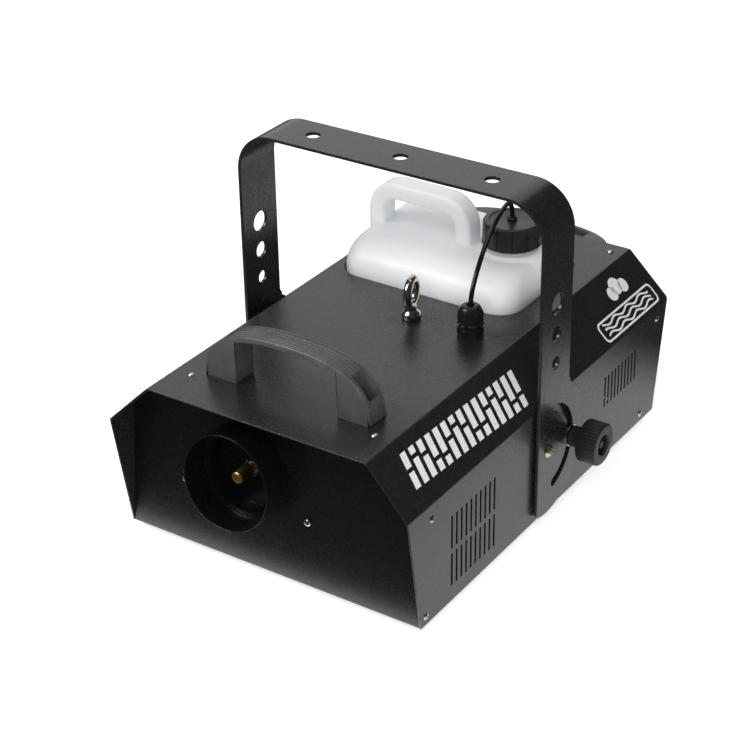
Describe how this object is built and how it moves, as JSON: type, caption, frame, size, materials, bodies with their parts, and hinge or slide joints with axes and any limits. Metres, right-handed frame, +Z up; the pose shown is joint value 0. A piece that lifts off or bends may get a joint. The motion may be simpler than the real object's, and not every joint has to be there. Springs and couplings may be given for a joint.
{
  "type": "fog machine",
  "caption": "Steel-cased stage fog machine with a lift-out fluid tank, a brass nozzle, carrying handles and a tilting hanging bracket clamped by hand knobs.",
  "frame": {"origin": "on the floor, under the middle of the whole machine, its rear handle included", "axes": "+Z up, the nozzle faces -Y, +X is the right-hand side seen from behind the nozzle"},
  "size_m": [0.351, 0.4633, 0.291],
  "materials": {
    "case_paint": "semi-gloss black powder coat with a fine orange-peel surface",
    "front_paint": "semi-gloss black powder coat, darker than the cover",
    "bracket_paint": "glossy black powder coat",
    "handle_plastic": "moulded black plastic, satin, grooved along the top",
    "screw_nickel": "bright nickel-plated steel",
    "pivot_nickel": "warm nickel-plated steel",
    "eye_steel": "polished plated steel",
    "zinc_steel": "zinc-plated steel",
    "knob_plastic": "matte black moulded plastic with fine ribs",
    "gland_nylon": "black nylon, satin",
    "black_rubber": "black rubber, matte",
    "hose_black": "glossy black tube",
    "tank_plastic": "milky translucent blow-moulded plastic",
    "cap_plastic": "black moulded plastic with broad ribs, satin",
    "nozzle_brass": "turned brass",
    "fitting_plastic": "black moulded plastic",
    "rocker_red": "red translucent moulded plastic",
    "contact_nickel": "nickel-plated contact metal",
    "heater_aluminium": "cast and milled aluminium",
    "insulation": "woven glass-fibre wrap",
    "pump_plastic": "off-white moulded plastic",
    "coil_plastic": "dark coil over-moulding",
    "copper_tube": "drawn copper tube",
    "board_green": "glass-epoxy circuit board",
    "parts_plastic": "moulded relay and connector housings"
  },
  "bodies": {
    "chassis": {"top_cover": "case_paint", "base_pan": "case_paint", "tank_well": "case_paint", "front_panel": "front_paint", "nozzle_guard": "front_paint", "nozzle_cup": "front_paint", "rear_panel": "front_paint", "front_handle": "handle_plastic", "rear_handle": "handle_plastic", "handle_screws": "screw_nickel", "cover_screws": "screw_nickel", "panel_screws": "screw_nickel", "foot_screws": "screw_nickel", "nozzle_nut": "screw_nickel", "pivot_screws": "pivot_nickel", "eye_bolt": "eye_steel", "eye_bolt_nut": "eye_steel", "spacers": "zinc_steel", "side_inserts": "zinc_steel", "outlet_pipe": "zinc_steel", "heater_legs": "zinc_steel", "heater_shroud": "zinc_steel", "pump_bracket": "zinc_steel", "gland_body": "gland_nylon", "gland_dome_nut": "gland_nylon", "gland_locknut": "gland_nylon", "gland_seal": "black_rubber", "feet": "black_rubber", "suction_hose": "hose_black", "pump_hose": "hose_black", "nozzle": "nozzle_brass", "board_standoffs": "nozzle_brass", "switch_frame": "fitting_plastic", "mains_inlet": "fitting_plastic", "fuse_holder": "fitting_plastic", "inlet_pins": "contact_nickel", "remote_socket": "contact_nickel", "heater_elements": "contact_nickel", "thermostats": "contact_nickel", "heater_block": "heater_aluminium", "heater_wrap": "insulation", "pump_body": "pump_plastic", "pump_coil": "coil_plastic", "feed_tube": "copper_tube", "control_board": "board_green", "board_parts": "parts_plastic"},
    "bracket": {"bracket": "bracket_paint"},
    "right_knob": {"right_knob": "knob_plastic", "right_stud": "zinc_steel"},
    "left_knob": {"left_knob": "knob_plastic", "left_stud": "zinc_steel"},
    "tank": {"tank": "tank_plastic", "hose_boot": "black_rubber", "pickup_tube": "hose_black", "suction_filter": "zinc_steel"},
    "tank_cap": {"tank_cap": "cap_plastic", "cap_seal": "black_rubber"},
    "switch_rocker": {"switch_rocker": "rocker_red"},
    "fuse_cap": {"fuse_cap": "fitting_plastic"},
    "pump_plunger": {"pump_plunger": "zinc_steel"}
  },
  "joints": [
    {"name": "bracket_tilt", "type": "hinge", "parent": "chassis", "child": "bracket", "pos_m": [0, -0.0243, 0.07], "axis": [1, 0, 0], "range_deg": [-60, 60]},
    {"name": "right_knob_turn", "type": "hinge", "parent": "chassis", "child": "right_knob", "pos_m": [0.158, 0.01155, 0.06667], "axis": [1, 0, 0], "continuous": true},
    {"name": "left_knob_turn", "type": "hinge", "parent": "chassis", "child": "left_knob", "pos_m": [-0.158, 0.01155, 0.06667], "axis": [1, 0, 0], "continuous": true},
    {"name": "tank_lift", "type": "slide", "parent": "chassis", "child": "tank", "axis": [0, 0, 1], "range_m": [0, 0.12], "deforming": ["suction_hose"]},
    {"name": "cap_turn", "type": "hinge", "parent": "tank", "child": "tank_cap", "pos_m": [0.0425, 0.0882, 0.195], "axis": [0, 0, 1], "continuous": true},
    {"name": "rocker_tilt", "type": "hinge", "parent": "chassis", "child": "switch_rocker", "pos_m": [0.11, 0.17863, 0.07182], "axis": [0, 0.0837, 0.9965], "range_deg": [-16, 0]},
    {"name": "fuse_cap_turn", "type": "hinge", "parent": "chassis", "child": "fuse_cap", "pos_m": [0.11, 0.1814, 0.09768], "axis": [0, 0.9965, -0.0837], "range_deg": [0, 90]},
    {"name": "pump_stroke", "type": "slide", "parent": "chassis", "child": "pump_plunger", "axis": [0, 1, 0], "range_m": [-0.003, 0.003], "stiffness_N_per_m": 300}
  ]
}
